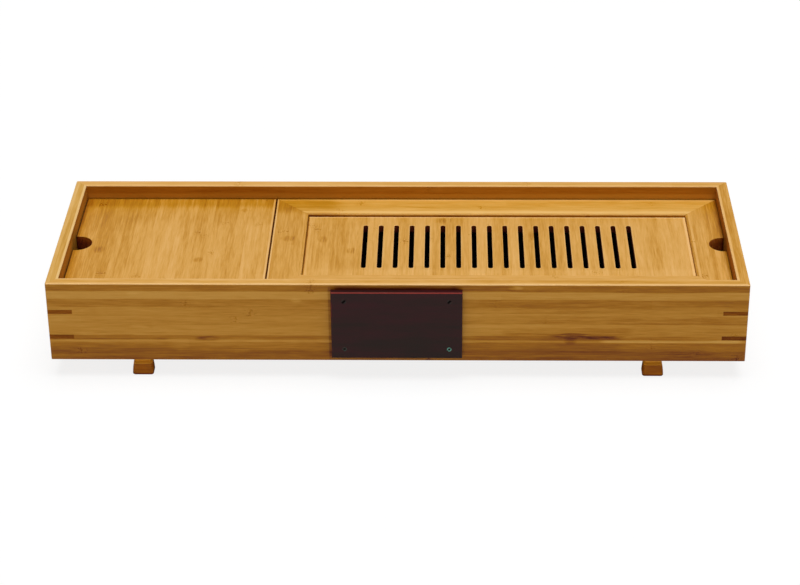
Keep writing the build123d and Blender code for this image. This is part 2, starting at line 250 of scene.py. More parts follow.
# %% Bamboo node group
strip_width = 9.0
strip_wander = 1.5        # how much a strip's width varies
wander_pace = 0.31        # how fast it varies across the board, in radians per millimetre
knuckle_spacing = 310.0
knuckle_scatter = 7.0     # how far neighbouring strips' knuckles are shifted, in spacings
knuckle_wobble = 7.0      # how far a ring strays from a straight line
knuckle_ring = 1.3        # half the width of the dark ring
knuckle_reach = 9.0       # how far the fibres swirl on either side
swirl_bend = 9.0          # how far it bends them
strip_offset = 17.0       # parts the fibres of one strip from those of the next
bamboo_sockets = (("Point", "INPUT", "Vector"), ("Seed", "INPUT", "Float"),
                  ("Tone", "OUTPUT", "Float"), ("Relief", "OUTPUT", "Float"))


def bamboo_group():
    """The solid pattern: from a point and a seed it gives tone and relief."""
    tree = bpy.data.node_groups.new("bamboo", "ShaderNodeTree")
    for name, way, kind in bamboo_sockets:
        tree.interface.new_socket(name, in_out=way, socket_type="NodeSocket" + kind)
    point, seed, _ = add_node(tree, "NodeGroupInput")
    along, across, through = axes_of(point)

    # Strips: the whole part of this number says which strip, the rest how far across it
    wander = calc("SINE", across * wander_pace + seed)
    lane_value = (wander * strip_wander + across) / strip_width + seed
    lane = calc("FLOOR", lane_value)
    lane_share = calc("FRACT", lane_value)
    lane_tone, lane_shift, lane_red = chance(lane, seed)

    # Knuckles: each strip has its own, at its own distance along
    length = along / knuckle_spacing + lane_shift * knuckle_scatter
    joint_tone, joint_strength, _ = chance(lane, calc("FLOOR", length), seed)
    wobble = noise(point, (0.2, 0.35, 0.35)) - 0.5
    from_ring = (calc("FRACT", length) - 0.5) * knuckle_spacing
    from_ring = abs(from_ring + wobble * knuckle_wobble)
    strength = calc("POWER", joint_strength, 1.6)
    swirl = fade(from_ring, 1.0, knuckle_reach) * strength
    ring = fade(from_ring, 0.3, knuckle_ring) * strength

    # Fibres, bent round the knuckle
    bend = wobble * swirl * swirl_bend
    fibre_point = joined(along, across + bend, lane * strip_offset + through)
    cloud = noise(fibre_point, (0.006, 0.06, 0.06))
    flake = noise(fibre_point, (0.032, 0.30, 0.30), detail=3.0, roughness=0.65)
    fibre = noise(fibre_point, (0.018, 0.42, 0.42), detail=4.0, roughness=0.6)
    hair = noise(fibre_point, (0.055, 1.15, 1.15), detail=3.0, roughness=0.6)
    specks = noise(fibre_point, (0.35, 0.8, 0.8), detail=3.0, roughness=0.6)
    specks = (1 - fade(specks, 0.52, 0.66)) * swirl

    # Glue lines between strips, most of them too fine to see
    from_line = calc("MINIMUM", lane_share, 1 - lane_share)
    line = fade(from_line, 0.006, 0.03) * calc("POWER", lane_red, 2.0)

    tone = ring * -0.10 - specks * 0.42 - line * 0.18 + 0.5
    for part, weight in (
        (lane_tone, 0.14), (joint_tone, 0.07), (cloud, 0.34), (flake, 0.36), (fibre, 0.42), (hair, 0.46),
    ):
        tone = (part - 0.5) * weight + tone
    relief = fibre - (ring + specks) * 0.6
    add_node(tree, "NodeGroupOutput", (("Tone", tone), ("Relief", relief)))
    return tree


bamboo = bamboo_group()
print("bamboo group nodes:", len(bamboo.nodes))

# %% [markdown]
# A board turns the point so that X runs along its own fibres, and colours the group's tone. The deep
# colours at the dark end are those of the painted shade on sawn faces, in grooves and in gaps.

# %% Bamboo pattern and colours
bamboo_stops = (          # tone, colour
    (-0.5, (0.075, 0.008, 0.001)),
    (-0.2, (0.190, 0.041, 0.001)),
    (0.0, (0.320, 0.108, 0.002)),
    (0.3, (0.512, 0.226, 0.011)),
    (0.5, (0.652, 0.334, 0.062)),
    (0.7, (0.735, 0.408, 0.115)),
    (1.0, (0.820, 0.500, 0.190)),
    (1.5, (0.900, 0.620, 0.300)),
)
quarter = math.pi / 2
board_turns = {
    "X over Z": (-quarter, 0, 0),          # fibres along X, strips stacked in Z
    "X over Y": (0, 0, 0),                 # fibres along X, strips side by side in Y
    "Y over X": (0, 0, -quarter),          # fibres along Y, strips side by side in X
    "Y over Z": (0, -quarter, -quarter),   # fibres along Y, strips stacked in Z
}


def bamboo_pattern(place, lie, seed):
    """The group's tone and relief on a board whose strips lie as named in board_turns."""
    tree, turn = place.tree, board_turns[lie]
    point = add_node(tree, "ShaderNodeMapping", ((0, place), ("Rotation", turn)), vector_type="POINT")[0]
    return add_node(tree, "ShaderNodeGroup", (("Point", point), ("Seed", seed)), node_tree=bamboo)


def bamboo_colour(tone):
    """The tone's colour. A ramp runs from 0 to 1, so tones from -0.5 to 1.5 are halved and raised."""
    return ramp(tone * 0.5 + 0.25, [(0.5 * stop + 0.25, colour) for stop, colour in bamboo_stops])


print("bamboo tones:", bamboo_stops[0][0], "to", bamboo_stops[-1][0])

# %% [markdown]
# ### Lines and knuckles
# A real board is not even all over: here and there a large knuckle shows, and the lines also paint
# highlights along edges and shade beside joints and walls. Painting these on a picture would need an
# unwrapped surface.
# As bands and ovals in space they are lists of places and widths, and stay where they are when a
# mesh changes.

# %% Lines and large knuckles
streak_along, streak_across = 0.08, 0.95   # how fine the streaks of a knuckle are each way


def line_tone(place, lines):
    """The sum of the lines' changes of tone. A line is (axis, where, half its width, change), and
    one that doesn't run the whole board also has (axis, middle, half its length)."""
    axes = dict(zip("XYZ", axes_of(place)))
    total = 0.0
    for axis, where, half_width, change, *span in lines:
        near = fade(abs(axes[axis] - where), half_width / 2, half_width)
        if span:
            along, middle, half_length = span
            near *= fade(abs(axes[along] - middle), half_length / 1.2, half_length)
        total = near * change + total
    return total


def knuckle_tone(place, along, knuckles):
    """The change of tone at a board's large knuckles. In each, the fibres come apart into dark and
    light streaks, densest in the middle and drawn out along the board. A knuckle is (where along,
    across axis, where across, half its length, half its width, change)."""
    axes = dict(zip("XYZ", axes_of(place)))
    fine = [streak_along if axis == along else streak_across for axis in "XYZ"]
    streak = noise(place, fine, detail=3.0, roughness=0.6) - 0.5
    swirl = noise(place, [f / 3 for f in fine]) - 0.5
    total = 0.0
    for where_along, across, where_across, half_length, half_width, change in knuckles:
        run = (axes[along] - where_along) / half_length
        rise = (axes[across] - where_across) / half_width + swirl * 2.2
        near = fade(rise * rise + run * run, 0.0, 1.0)
        total = near * (0.8 - streak * 3.6) * change + total
    return total


print("streaks in a knuckle, per millimetre:", streak_along, streak_across)

# %% [markdown]
# ### Painted highlights round the slots
# A painted highlight lightens the slots' arrises. Eighteen pale rings could be listed like the knuckles,
# but the slots are all alike, so every point is folded into the strip round one slot, and the highlight is
# worked out there.

# %% Slot highlights
slot_count, slot_pitch = 18, 16.25
slot_half_width, slot_half_length = 2.5, 47.0
slot_straight = slot_half_length - slot_half_width   # half of the straight part of its sides
panel_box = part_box("slotted_panel")
slot_middle = [1000 * (low + high) / 2 for low, high in zip(*panel_box)]
slot_field = slot_pitch * slot_count / 2
# width of the painted highlight round a slot
highlight_width = 1.6


def slot_edge_highlight(place):
    """The painted highlight: 1 at the edge of a slot, 0 from its full width away. The distance is that
    from the line between the centres of the slot's round ends, less half the slot's width."""
    x, y, _ = axes_of(place)
    from_middle = x - slot_middle[0]
    across = (calc("FRACT", from_middle / slot_pitch + slot_count / 2) - 0.5) * slot_pitch
    along = calc("MAXIMUM", abs(y - slot_middle[1]) - slot_straight, 0.0)
    away = calc("SQRT", across * across + along * along) - slot_half_width
    return fade(away, 0.2, highlight_width) * fade(abs(from_middle), slot_field, slot_field + 1.0)


print("slots:", slot_count, "round", [round(v, 2) for v in slot_middle[:2]])

# %% [markdown]
# ### Painted shade on sawn sides and the case's faces
# The sawn sides of finger notches and slots get painted shade, darker deeper down and redder. The case's
# boards get painted shade outside and inside, darker than on the rim. Each such face could be given a
# material of its own. Here all of them are told from the point alone: how far it lies inside a rectangle
# in plan, and whether it is below a height.

# %% Places on the boards
# the depth over which the painted shade on sawn sides deepens
shade_depth = 8.0
case_outline = (0, 3, 700, 230)      # rectangles are the middle's x and y, length and width
case_hollow = (0, 3, 676, 206)
rim_arris = 107.3                    # above it the rim is rounded and flat
rim_top = 108.0


def inside_of(place, rectangle):
    """How far the point lies inside the upright walls over a rectangle, negative outside."""
    centre_x, centre_y, length, width = rectangle
    x, y, _ = axes_of(place)
    return calc("MINIMUM", length / 2 - abs(x - centre_x), width / 2 - abs(y - centre_y))


def below(place, height):
    """1 below a height, 0 above it."""
    return fade(axes_of(place)[2], height - 0.2, height + 0.2)


def sawn_side_shade(place, height, openings):
    """Painted shade for the sawn sides of openings, which lie below the height and inside the rectangles:
    1 there, how red the shade is, and how deep, from 0 at the height to 1 at the full shade depth under
    it."""
    sawn = red = 0.0
    for *rectangle, redness in openings:
        opening = calc("GREATER_THAN", inside_of(place, rectangle), 0.0)
        sawn = calc("MAXIMUM", opening, sawn)
        red = calc("MAXIMUM", opening * redness, red)
    under = below(place, height)
    return sawn * under, red * under, fade(axes_of(place)[2], height - shade_depth, height)


def band_tone(place, bands):
    """The tone of each strip of an upright board, with a soft step of a millimetre between two. A
    band is (its top, its tone)."""
    ripple = noise(place, (0.006, 0, 0)) - 0.5
    share = axes_of(place)[2] / rim_top + ripple * 0.03
    stops = []
    low = 0
    for top, tone in bands:
        stops += [(edge / rim_top, (tone, tone, tone)) for edge in (low + 0.6, top - 0.6)]
        low = top
    return ramp(share, stops) - 0.5


print("case outside and hollow:", case_outline[2:], case_hollow[2:])

# %% [markdown]
# ### The board's material
# The lacquer is a satin one: a low, slightly uneven gloss that follows the fibres, and next to none
# on sawn sides and inside the case.

# %% Bamboo material
# painted shade: the case's upright faces are darker than the lit rim, the inner ones darker and redder
# still
outer_shade_tint = (0.90, 0.78, 0.39)
inner_shade_tint = (0.84, 0.62, 0.16)
# the redder colour of the painted shade on sawn sides
sawn_shade_tint = (1.00, 0.62, 0.70)
satin, dull = 0.24, 0.5              # the lacquer's roughness, and how much rougher bare wood is


def bamboo_material(
    name, lie, seed, bands=(), lines=(), knuckles=(), openings=(), cut_below=92.4,
    cut=(-0.42, -0.72), tint=None, walls=(), slots=0.0, shine=0.25,
):
    """Lacquered bamboo whose strips lie as named in board_turns. Lines and knuckles change its tone.
    Openings are rectangles in which faces lower than cut_below are sawn sides with painted shade, and cut
    is the change of tone at their top and deep down. Walls are the lines of painted highlights on the rim
    of a board of the case, whose outer strips have the tones in bands, and whose outer and inner faces get
    painted shade. Slots is how much a painted highlight lightens the wood round a slot."""
    material, tree, shader = new_material(name)
    place = point_of(tree)
    tone, relief = bamboo_pattern(place, lie, seed)
    rough = relief * 0.2 + satin
    tone += line_tone(place, lines)
    tints = []
    if knuckles:
        tone += knuckle_tone(place, lie[0], knuckles)
    # a painted highlight round each slot
    if slots:
        tone += slot_edge_highlight(place) * slots
    if openings:
        # painted shade on sawn sides, darker deeper down, and redder where the opening says so
        sawn, red, depth = sawn_side_shade(place, cut_below, openings)
        tone += (depth * (cut[1] - cut[0]) + cut[0]) * sawn
        rough += below(place, cut_below) * dull
        tints.append((sawn_shade_tint, red))
    if walls:
        # painted highlights along the rim, and painted shade on the case's outer and inner faces
        upright = below(place, rim_arris)
        outer_face = fade(inside_of(place, case_outline), 0.5, 1.0) * upright
        inner_face = fade(inside_of(place, case_hollow) * -1, 0.2, 0.7) * upright
        tone += line_tone(place, walls) * (1 - upright)
        tone += band_tone(place, bands) * outer_face
        rough += inner_face * dull
        tints += [(outer_shade_tint, outer_face), (inner_shade_tint, inner_face)]
    if tint:
        tints.append((tint, 1.0))
    colour = bamboo_colour(tone)
    for board_tint, share in tints:
        colour = tinted(colour, board_tint, share)
    coat(shader, colour, rough, shine, relief, 0.25)
    return material


print("roughness of the lacquer:", satin)

# %% [markdown]
# ### What each board shows
# The front board is the one that is looked at, so its strips, stains and knuckles are listed one by one,
# with painted shade round the plate. The rest have what shows from above: painted highlights along the
# rims, a dark line of painted shade beside each gap, and painted shade at the ends next to the walls.

# %% Boards of the case
# tones of the front's strips; the lowest ones are also darker as painted shade towards the bottom
front_bands = (
    (32, 0.12), (41.5, 0.28), (44.5, 0.54), (49.5, 0.26), (62.5, 0.56), (72.5, 0.55),
    (81.5, 0.56), (91, 0.36), (99.7, 0.76), (108, 0.28),
)
side_bands = (
    (30, 0.42), (39, 0.54), (48, 0.44), (60, 0.57), (69, 0.48), (78, 0.60), (90, 0.46), (99, 0.58),
    (108, 0.50),
)
front_lines = (
    ("Z", 102.2, 5.5, -0.32, "X", 0, 68),          # painted shade round the plate, where it stands out from the board
    ("X", -66.5, 2.4, -0.25, "Z", 64, 44),
    ("Z", 103.0, 1.8, -0.30, "X", 0, 66),
    ("Z", 104.0, 4, -0.16, "X", 86, 34),
    ("X", 300, 250, -0.07),                        # strips right of the plate
    ("Z", 22.5, 3.0, -0.10, "X", 220, 170),
    ("Z", 47, 7, -0.10, "X", 200, 130),
    ("Z", 67.5, 6, -0.14, "X", 200, 190),
    ("Z", 73.4, 1.8, 0.12, "X", 220, 190),
    ("Z", 60.8, 2.4, 0.10, "X", 220, 190),
    ("Z", 54, 5, -0.14, "X", 170, 70),
    ("Z", 36.5, 7, -0.12, "X", 140, 90),
    ("Z", 43.4, 1.9, 0.50, "X", 275, 75),
    ("Z", 47, 3, 0.20, "X", 285, 65),
    ("Z", 45, 1.4, -0.22, "X", -300, 75),          # and left of it
    ("Z", 36, 4.5, -0.12, "X", -300, 80),
    ("Z", 23.5, 2.6, -0.09, "X", -262, 75),
    ("Z", 31.5, 2.2, 0.12, "X", -185, 40),
)
front_knuckles = (
    (174, "Z", 50.2, 26, 4.6, -0.44),
    (208, "Z", 48.4, 26, 3.0, -0.42),
    (174, "Z", 45.0, 8, 6.0, -0.28),
    (290, "Z", 30.0, 32, 6.0, -0.15),
    (118, "Z", 104.0, 9, 4.5, 0.30),
    (-191, "Z", 45.5, 15, 5.0, -0.38),
    (-259, "Z", 58.5, 12, 4.5, 0.20),
    (-100, "Z", 89.0, 7, 3.5, 0.24),
    (-262, "Z", 97.0, 9, 3.0, 0.18),
)
back_lines = (
    # a line of painted shade where the inner face meets the covers, and lighter and darker bands above it
    ("Z", 95.6, 4.2, 0.26, "Y", 104, 6), ("Z", 93.2, 1.1, -0.20, "Y", 104, 6),
    ("Z", 95.6, 4.0, 0.14, "X", 190, 190), ("Z", 101, 5, -0.05, "X", -150, 190),
)
# painted highlights along the rims' arrises
long_rim_highlights = (("Y", -110.8, 2.4, 0.42), ("Y", -101.2, 1.6, 0.2), ("Y", 108, 2.6, 0.28), ("Y", 115, 5, 0.1))
short_rim_highlights = (("X", -339.2, 1.8, 0.50), ("X", 339.2, 1.8, 0.46), ("X", -348, 3, 0.2), ("X", 348, 3, 0.10))
case_shine = 0.17
finishes = {
    "front_board": {
        "walls": long_rim_highlights, "bands": front_bands, "lines": front_lines, "knuckles": front_knuckles,
    },
    "back_board": {"walls": long_rim_highlights, "bands": side_bands, "lines": back_lines},
    "left_end_board": {
        "walls": short_rim_highlights, "bands": side_bands, "lines": (("Z", 96, 9, 0.34, "X", -336, 7),),
        "tint": (0.95, 1.00, 1.00),
    },
    "right_end_board": {"walls": short_rim_highlights, "bands": side_bands, "lines": (("X", 345, 12, -0.12),)},
}
for finish in finishes.values():
    finish["shine"] = case_shine
print("boards of the case:", len(finishes))

# %% [markdown]
# The covers have openings: a finger notch each, and in the tray a recess round a field of slots. The dark
# lines of painted shade at the gaps end just under the top, so that the lifted lid's end shows clean wood.

# %% Lid, rails and panel
lid_notch = (-327, 3, 24, 34, 1.0)   # openings as middle, size and how red the painted shade on their sawn sides is
rail_notch = (327, 3, 24, 34, 1.0)
recess = (102.6, 3, 400.6, 134.8, 0.0)
slots_area = (102.6, 3, 300, 100, 1.0)
finishes["storage_lid"] = {
    "openings": (lid_notch,),
    "cut": (-0.25, -0.50),
    "lines": (
        # painted shade at the left gap, at the joint and near the left and back walls, and a painted
        # highlight beside the joint
        ("X", -337.4, 1.1, -0.6, "Z", 93, 3), ("X", -134.9, 1.3, 0.34),
        ("X", -133.4, 0.8, -0.7, "Z", 93, 4), ("X", -338, 16, -0.18), ("X", -338, 70, -0.10),
        ("Y", 106, 26, -0.16), ("Y", 106, 80, -0.08),
    ),
    "knuckles": (
        (-33, "X", -205, 7, 6, -0.22), (-78, "X", -235, 6, 5, -0.18),
        (-11, "X", -310, 9, 8, -0.24), (78, "X", -165, 6, 5, -0.22),
    ),
}
finishes["tray_rail_left"] = {
    "openings": (recess,),
    "lines": (
        # a painted highlight and a line of painted shade beside the joint, and painted shade near the back
        # wall
        ("X", -131.2, 0.9, 0.45), ("X", -132.4, 0.5, -0.5, "Z", 93, 3), ("X", -115, 30, -0.05),
        ("Y", 106, 40, -0.22),
    ),
    "knuckles": ((14, "X", -117, 8, 8, -0.26),),
}
finishes["tray_rail_right"] = {
    "openings": (recess, rail_notch),
    "cut": (0.05, -0.15),
    "lines": (
        # painted shade near the right wall, deeper in the back half, and along the recess edge
        ("X", 338, 4, -0.20), ("X", 338, 24, -0.10), ("X", 320, 12, 0.04),
        ("X", 338, 17, -0.22, "Y", 70, 70), ("X", 303.6, 1.5, -0.30),
    ),
}
finishes["tray_rail_front"] = {"openings": (recess,), "cut_below": 91.6, "lines": (("Y", -80, 30, 0.06),)}
finishes["tray_rail_back"] = {
    "openings": (recess,),
    "cut_below": 91.6,
    "tint": (1.00, 1.00, 0.84),
    "lines": (
        # painted highlights on the bead and the outer edge, and painted shade at the left end
        ("Y", 74.6, 3.4, 0.45), ("Y", 80, 5, 0.12), ("Y", 90.5, 6, 0.03), ("Y", 102.5, 2.5, 0.22),
        ("X", -110, 60, -0.22),
    ),
}
finishes["slotted_panel"] = {
    "openings": (slots_area,),
    "cut_below": 89.6,
    "cut": (-1.00, -1.15),
    "slots": 0.16,
    "lines": (
        # painted highlights on the panel's eased edges, and painted shade in the gap at its left
        ("X", -94.4, 1.8, 0.12), ("X", 300.6, 1.6, 0.42), ("X", -96.6, 1.2, -0.4),
        ("Y", 69.6, 3.6, 0.35), ("X", -97, 60, -0.10), ("Y", -62, 20, 0.08),
    ),
    "knuckles": (
        (61, "X", 45, 8, 7, -0.30), (27, "X", 139, 12, 6, -0.26), (18, "X", -80, 9, 6, -0.22),
        (-7, "X", -48, 8, 5, -0.26),
    ),
}
print("finishes so far:", len(finishes))

# %% [markdown]
# The feet are stained redder. They are dark at the sole and under the case, and a painted highlight
# brightens the shoulder where the face steps in. Then every board gets its material, with a seed of its
# own, so that no two show the same strips.

# %% Feet, and all boards
for end in ("front", "back"):
    # painted highlight on the shoulder, which lies in the case's shade
    for side, shoulder_highlight in (("left", 2.1), ("right", 1.2)):
        finishes[f"foot_{end}_{side}"] = {
            "tint": (0.96, 0.66, 0.12),
            "lines": (("Z", 0, 30, -0.26), ("Z", 15.6, 3.4, shoulder_highlight), ("Z", 0.4, 2.4, -0.34)),
            "shine": 0.12,
        }
board_seeds = {
    "X over Z": {
        "front_board": 3, "back_board": 11, "foot_front_left": 101, "foot_front_right": 103,
        "foot_back_left": 107, "foot_back_right": 109,
    },
    "Y over Z": {"left_end_board": 17, "right_end_board": 23, "divider": 31},
    "X over Y": {
        "bottom_board": 29, "storage_ledger_front": 37, "storage_ledger_back": 41,
        "tray_ledger_front": 43, "tray_ledger_back": 47, "tray_rail_front": 59, "tray_rail_back": 61,
        "tray_tenon_front_left": 79, "tray_tenon_front_right": 83, "tray_tenon_back_left": 89,
        "tray_tenon_back_right": 97,
    },
    "Y over X": {"storage_lid": 53, "tray_rail_left": 67, "tray_rail_right": 71, "slotted_panel": 73},
}
for lie, seeds in board_seeds.items():
    for name, seed in seeds.items():
        dress(name, bamboo_material(f"bamboo_{name}", lie, seed, **finishes.get(name, {})))
print("bamboo boards:", sum(len(seeds) for seeds in board_seeds.values()))

# %% [markdown]
# ## Dark wood
# The plate on the front is a dark, dense wood with long fine grain, with a painted red highlight along its
# upper edge and painted highlights at its ends. The keys in the corners are a redder wood, planed flush.
# Both could be the bamboo with other colours, but these woods have no strips and no knuckles, so a
# stretched noise under the same lacquer is enough.

# %% Dark wood material
def dark_wood_material(name, factors, stops, roughness, shine, grain=0.6, lines=()):
    """Fine straight grain: noise stretched along the fibres, coloured by the stops. Lines change the tone
    in bands, as on the bamboo."""
    material, tree, shader = new_material(name)
    place = point_of(tree)
    broad = noise(place, factors, detail=5.0, roughness=0.62)
    fine = noise(place, [f * 6 for f in factors], detail=3.0, roughness=0.6)
    tone = (fine - 0.5) * grain + broad + line_tone(place, lines)
    coat(shader, ramp(tone, stops), fine * 0.12 + roughness, shine, fine, 0.3)
    return material


plate_wood = dark_wood_material(
    "plate_wood",
    (0.009, 0.06, 0.06),
    ((0.20, (0.014, 0.007, 0.004)), (0.45, (0.021, 0.006, 0.004)), (0.75, (0.038, 0.004, 0.006)),
     (1.0, (0.240, 0.016, 0.006))),
    0.32,
    0.18,
    grain=0.25,
    # painted highlights: a red line along the plate's top edge and lighter lines at both ends
    lines=(("Z", 101.6, 0.62, 1.12), ("Z", 103.4, 1.2, 0.28), ("Z", 100, 50, 0.10),
           ("X", -65, 0.9, 0.14), ("X", 65, 0.9, 0.12)),
)
key_wood = dark_wood_material(
    "key_wood",
    (0.06, 0.06, 0.42),
    ((0.00, (0.13, 0.025, 0.002)), (0.25, (0.20, 0.050, 0.002)), (0.55, (0.31, 0.088, 0.003)),
     (0.8, (0.40, 0.13, 0.005))),
    0.45,
    0.07,
    lines=(("X", 338, 26, -0.34, "Z", 47.5, 6), ("X", 338, 26, -0.10, "Z", 75, 6),
           ("Z", 47.5, 6, -0.06, "X", -338, 26)),
)
dress("front_plate", plate_wood)
keys = [name for name in nodes if name.startswith("corner_key")]
for name in keys:
    dress(name, key_wood)
print("dark wood: front_plate and", len(keys), "keys")

# %% [markdown]
# ## Metal and plastic
# The plate's four screws are small blackened brass ones. A painted green reflection rings the head, and
# painted shade makes its slot black. A slot could be cut into each head, but on a head this small the
# glint is what shows, so ring and slot are only coloured.

# %% Screw heads with painted glints
ring_radius = 1.75
# the last stop is the green of the painted reflection ring
brass_stops = ((0.0, (0.001, 0.001, 0.001)), (0.35, (0.034, 0.026, 0.024)), (1.0, (0.12, 0.29, 0.23)))
plate_heads = (
    (-52.5, 91.75, 0.0, 2.2), (52.5, 91.75, 0.0, 2.0), (-52.5, 37.25, 0.08, 0.5), (52.5, 37.25, 0.75, 0.7),
)


def slotted_head_material(name, heads):
    """Blackened brass screws: a painted ring of green reflection near the edge of the head, and a slot of
    black painted shade that runs up to the right, or a black middle. Heads are (x, z, strength of the
    ring, half the length of the slot), and their faces look along Y."""
    material, tree, shader = new_material(name)
    place = point_of(tree)
    x, _, z = axes_of(place)
    patches = noise(place, (0.7, 0.7, 0.7), detail=3.0)
    tone = 0.35
    for head_x, head_z, glint, slot_reach in heads:
        side, rise = x - head_x, z - head_z
        away = calc("SQRT", side * side + rise * rise)
        # a painted green reflection ring, then the slot's black painted shade
        tone = fade(abs(away - ring_radius), 0.24, 0.70) * glint + tone
        slot = fade(abs(side - rise), 0.8, 1.7) * fade(away, slot_reach, slot_reach + 0.5)
        tone = tone - tone * slot * 0.9
    tone *= patches * 0.8 + 0.6
    coat(shader, ramp(tone, brass_stops), patches * 0.3 + 0.35)
    shader.inputs["Metallic"].default_value = 1.0
    return material


dress("plate_screws", slotted_head_material("plate_screw_brass", plate_heads))
print("tarnished heads:", len(plate_heads))

# %% [markdown]
# The foot screws are plain steel, and the pan is moulded plastic. One even colour and polish would
# look like neither, so both get faint clouds in the colour and a fine grain in the polish.

# %% Steel and plastic
def plain_material(name, colour, dark, roughness, uneven, clouds, grain, metal=0.0):
    """One colour, clouded with a darker share of itself, and a fine grain in its polish, which makes
    the roughness uneven. Clouds and grain are (how fine, detail)."""
    material, tree, shader = new_material(name)
    cloud, fine = (noise(point_of(tree), (size,) * 3, detail) for size, detail in (clouds, grain))
    stops = ((0.3, [c * dark for c in colour]), (0.7, colour))
    coat(shader, ramp(cloud, stops), fine * uneven + (roughness - uneven / 2))
    shader.inputs["Metallic"].default_value = metal
    return material


steel = plain_material("foot_screw_steel", (0.55, 0.55, 0.53), 0.6, 0.35, 0.3, (0.9, 4.0), (0.9, 4.0), 1.0)
plastic = plain_material("pan_plastic", (0.016, 0.015, 0.014), 0.8, 0.5, 0.2, (0.025, 3.0), (2.5, 2.0))
dress("foot_screws", steel)
dress("water_pan", plastic)
print("materials:", len(bpy.data.materials))

# %% [markdown]
# ## Pieces as stacks of rings
# A board with eased edges, a foot and a moulded pan have one thing in common. Each is an outline that
# is carried up a profile: at every step of the profile the outline moves in or out a little and gets a
# new height. Such a skin could be modelled by hand and bevelled, but as arrays it is one line of
# arithmetic for all points together, and every radius stays a named number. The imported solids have
# flat bevels, so these pieces stand in for the ones whose edges the hand and the light meet.

# %% Rings to mesh
weld_distance = 2e-6      # metres
sharp_angle = math.radians(40)


def mesh_piece(name, points, faces):
    """A mesh object from points in millimetres and faces. Points that lie on each other become one,
    which also takes out faces without a width. Edges bent by more than sharp_angle stay sharp."""
    mesh = bpy.data.meshes.new(name)
    mesh.from_pydata((np.asarray(points) / 1000).tolist(), [], faces)
    welded = bmesh.new()
    welded.from_mesh(mesh)
    bmesh.ops.remove_doubles(welded, verts=welded.verts, dist=weld_distance)
    welded.to_mesh(mesh)
    welded.free()
    mesh.polygons.foreach_set("use_smooth", np.ones(len(mesh.polygons), dtype=bool))
    mesh.set_sharp_from_angle(angle=sharp_angle)
    piece = bpy.data.objects.new(name, mesh)
    bpy.context.scene.collection.objects.link(piece)
    return piece


def ring_faces(levels, count, closed=False):
    """Quads between neighbouring rings of count points. They face outwards where the points run
    anticlockwise and the rings go up, and where the rings then go inwards over the top."""
    ring = np.arange(levels if closed else levels - 1)[:, None] * count
    here = np.arange(count)[None, :]
    ahead = (here + 1) % count
    above = (ring + count) % (levels * count)
    return np.stack([ring + here, ring + ahead, above + ahead, above + here], axis=-1).reshape(-1, 4)


def stack_piece(name, rings, capped=True):
    """The skin through rings, an array (ring, point, xyz). Without caps the last ring meets the
    first again."""
    levels, count, _ = rings.shape
    faces = ring_faces(levels, count, closed=not capped).tolist()
    if capped:
        faces.append(list(range(count))[::-1])
        faces.append(list(range((levels - 1) * count, levels * count)))
    return mesh_piece(name, rings.reshape(-1, 3), faces)


print("edges over", round(math.degrees(sharp_angle)), "degrees stay sharp")

# %% [markdown]
# A new piece takes over from its CAD node: its box is measured there, and it gets the node's material
# and rides on the node's body.

# %% Measuring and handing over
def level(points, z):
    """Plan points at a height."""
    return np.column_stack([points, np.full(len(points), z)])


def box_mm(node):
    """The lowest and highest corner of a CAD node in millimetres."""
    return [np.array(corner) * 1000 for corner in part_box(node)]


def hand_over(piece, node, body):
    """The piece takes the node's material and place, and rides on its body."""
    piece.data.materials.append(nodes[node].data.materials[0])
    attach(piece, body)
    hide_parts(node)
    print(piece.name, "faces:", len(piece.data.polygons))


print("lid in millimetres:", np.round(box_mm("storage_lid"), 2).tolist())

# %% [markdown]
# ## Eased boards
# The lid and the tray's rails are sawn boards whose upper edges are rounded with a plane and
# sandpaper. Each edge has its own radius: half a millimetre outside, a fuller bead inside the tray,
# and nearly none at a mitre, where two rails have to close. When two edges move in by different
# amounts, their corner goes where the two moved lines cross.

# %% Eased board surface
edge_ease = 0.5
edge_steps = 6
flat_start = 1.08         # where the flat top starts, in moves of the edge


def corner_moves(outline, eases):
    """How each point of an anticlockwise outline moves while every edge moves in by its ease. With
    the edges' inward normals m and n and eases a and b, the move d solves m.d = a and n.d = b.
    Where the edges are nearly in line, it is the mean of m and n times a, over their overlap."""
    edges = np.roll(outline, -1, axis=0) - outline
    normals = np.stack([-edges[:, 1], edges[:, 0]], axis=1) / np.linalg.norm(edges, axis=1)[:, None]
    before, ease_before = np.roll(normals, 1, axis=0), np.roll(eases, 1)
    cross = before[:, 0] * normals[:, 1] - before[:, 1] * normals[:, 0]
    turns = np.abs(cross) > 0.5
    safe = np.where(turns, cross, 1.0)
    solved = np.stack([
        (ease_before * normals[:, 1] - eases * before[:, 1]) / safe,
        (eases * before[:, 0] - ease_before * normals[:, 0]) / safe,
    ], axis=1)
    overlap = 1 + (before * normals).sum(axis=1)
    gentle = (before + normals) * (np.minimum(ease_before, eases) / overlap)[:, None]
    return np.where(turns[:, None], solved, gentle), np.maximum(ease_before, eases)


def eased_rings(outline, eases, low, top, sides=()):
    """Rings up a board's side and over its edge. A side is (height, moves), straight up from there.
    Over the edge, at angle t, a point has moved in by (1 - cos t) of its move and lies
    ease * (1 - sin t) under the top."""
    moves, ease = corner_moves(outline, eases)
    side_rings = [level(outline + move, z) for z, move in [(low, 0 * outline)] + list(sides)]
    turn = np.radians(np.linspace(0, 90, edge_steps))[:, None, None]
    over_edge = np.concatenate([
        outline + (1 - np.cos(turn)) * moves,
        top - (1 - np.sin(turn)) * ease[None, :, None],
    ], axis=2)
    flat = level(outline + flat_start * moves, top)
    return np.concatenate([np.array(side_rings), over_edge, flat[None]])


print("board edges are eased by", edge_ease, "in", edge_steps, "steps")

# %% [markdown]
# A finger notch is a half circle at the end of two short straight sides, with its mouth rounded over.
# It is drawn once, at the left edge of a board, and turned half a turn for the right edge, which
# keeps the material on the same hand.

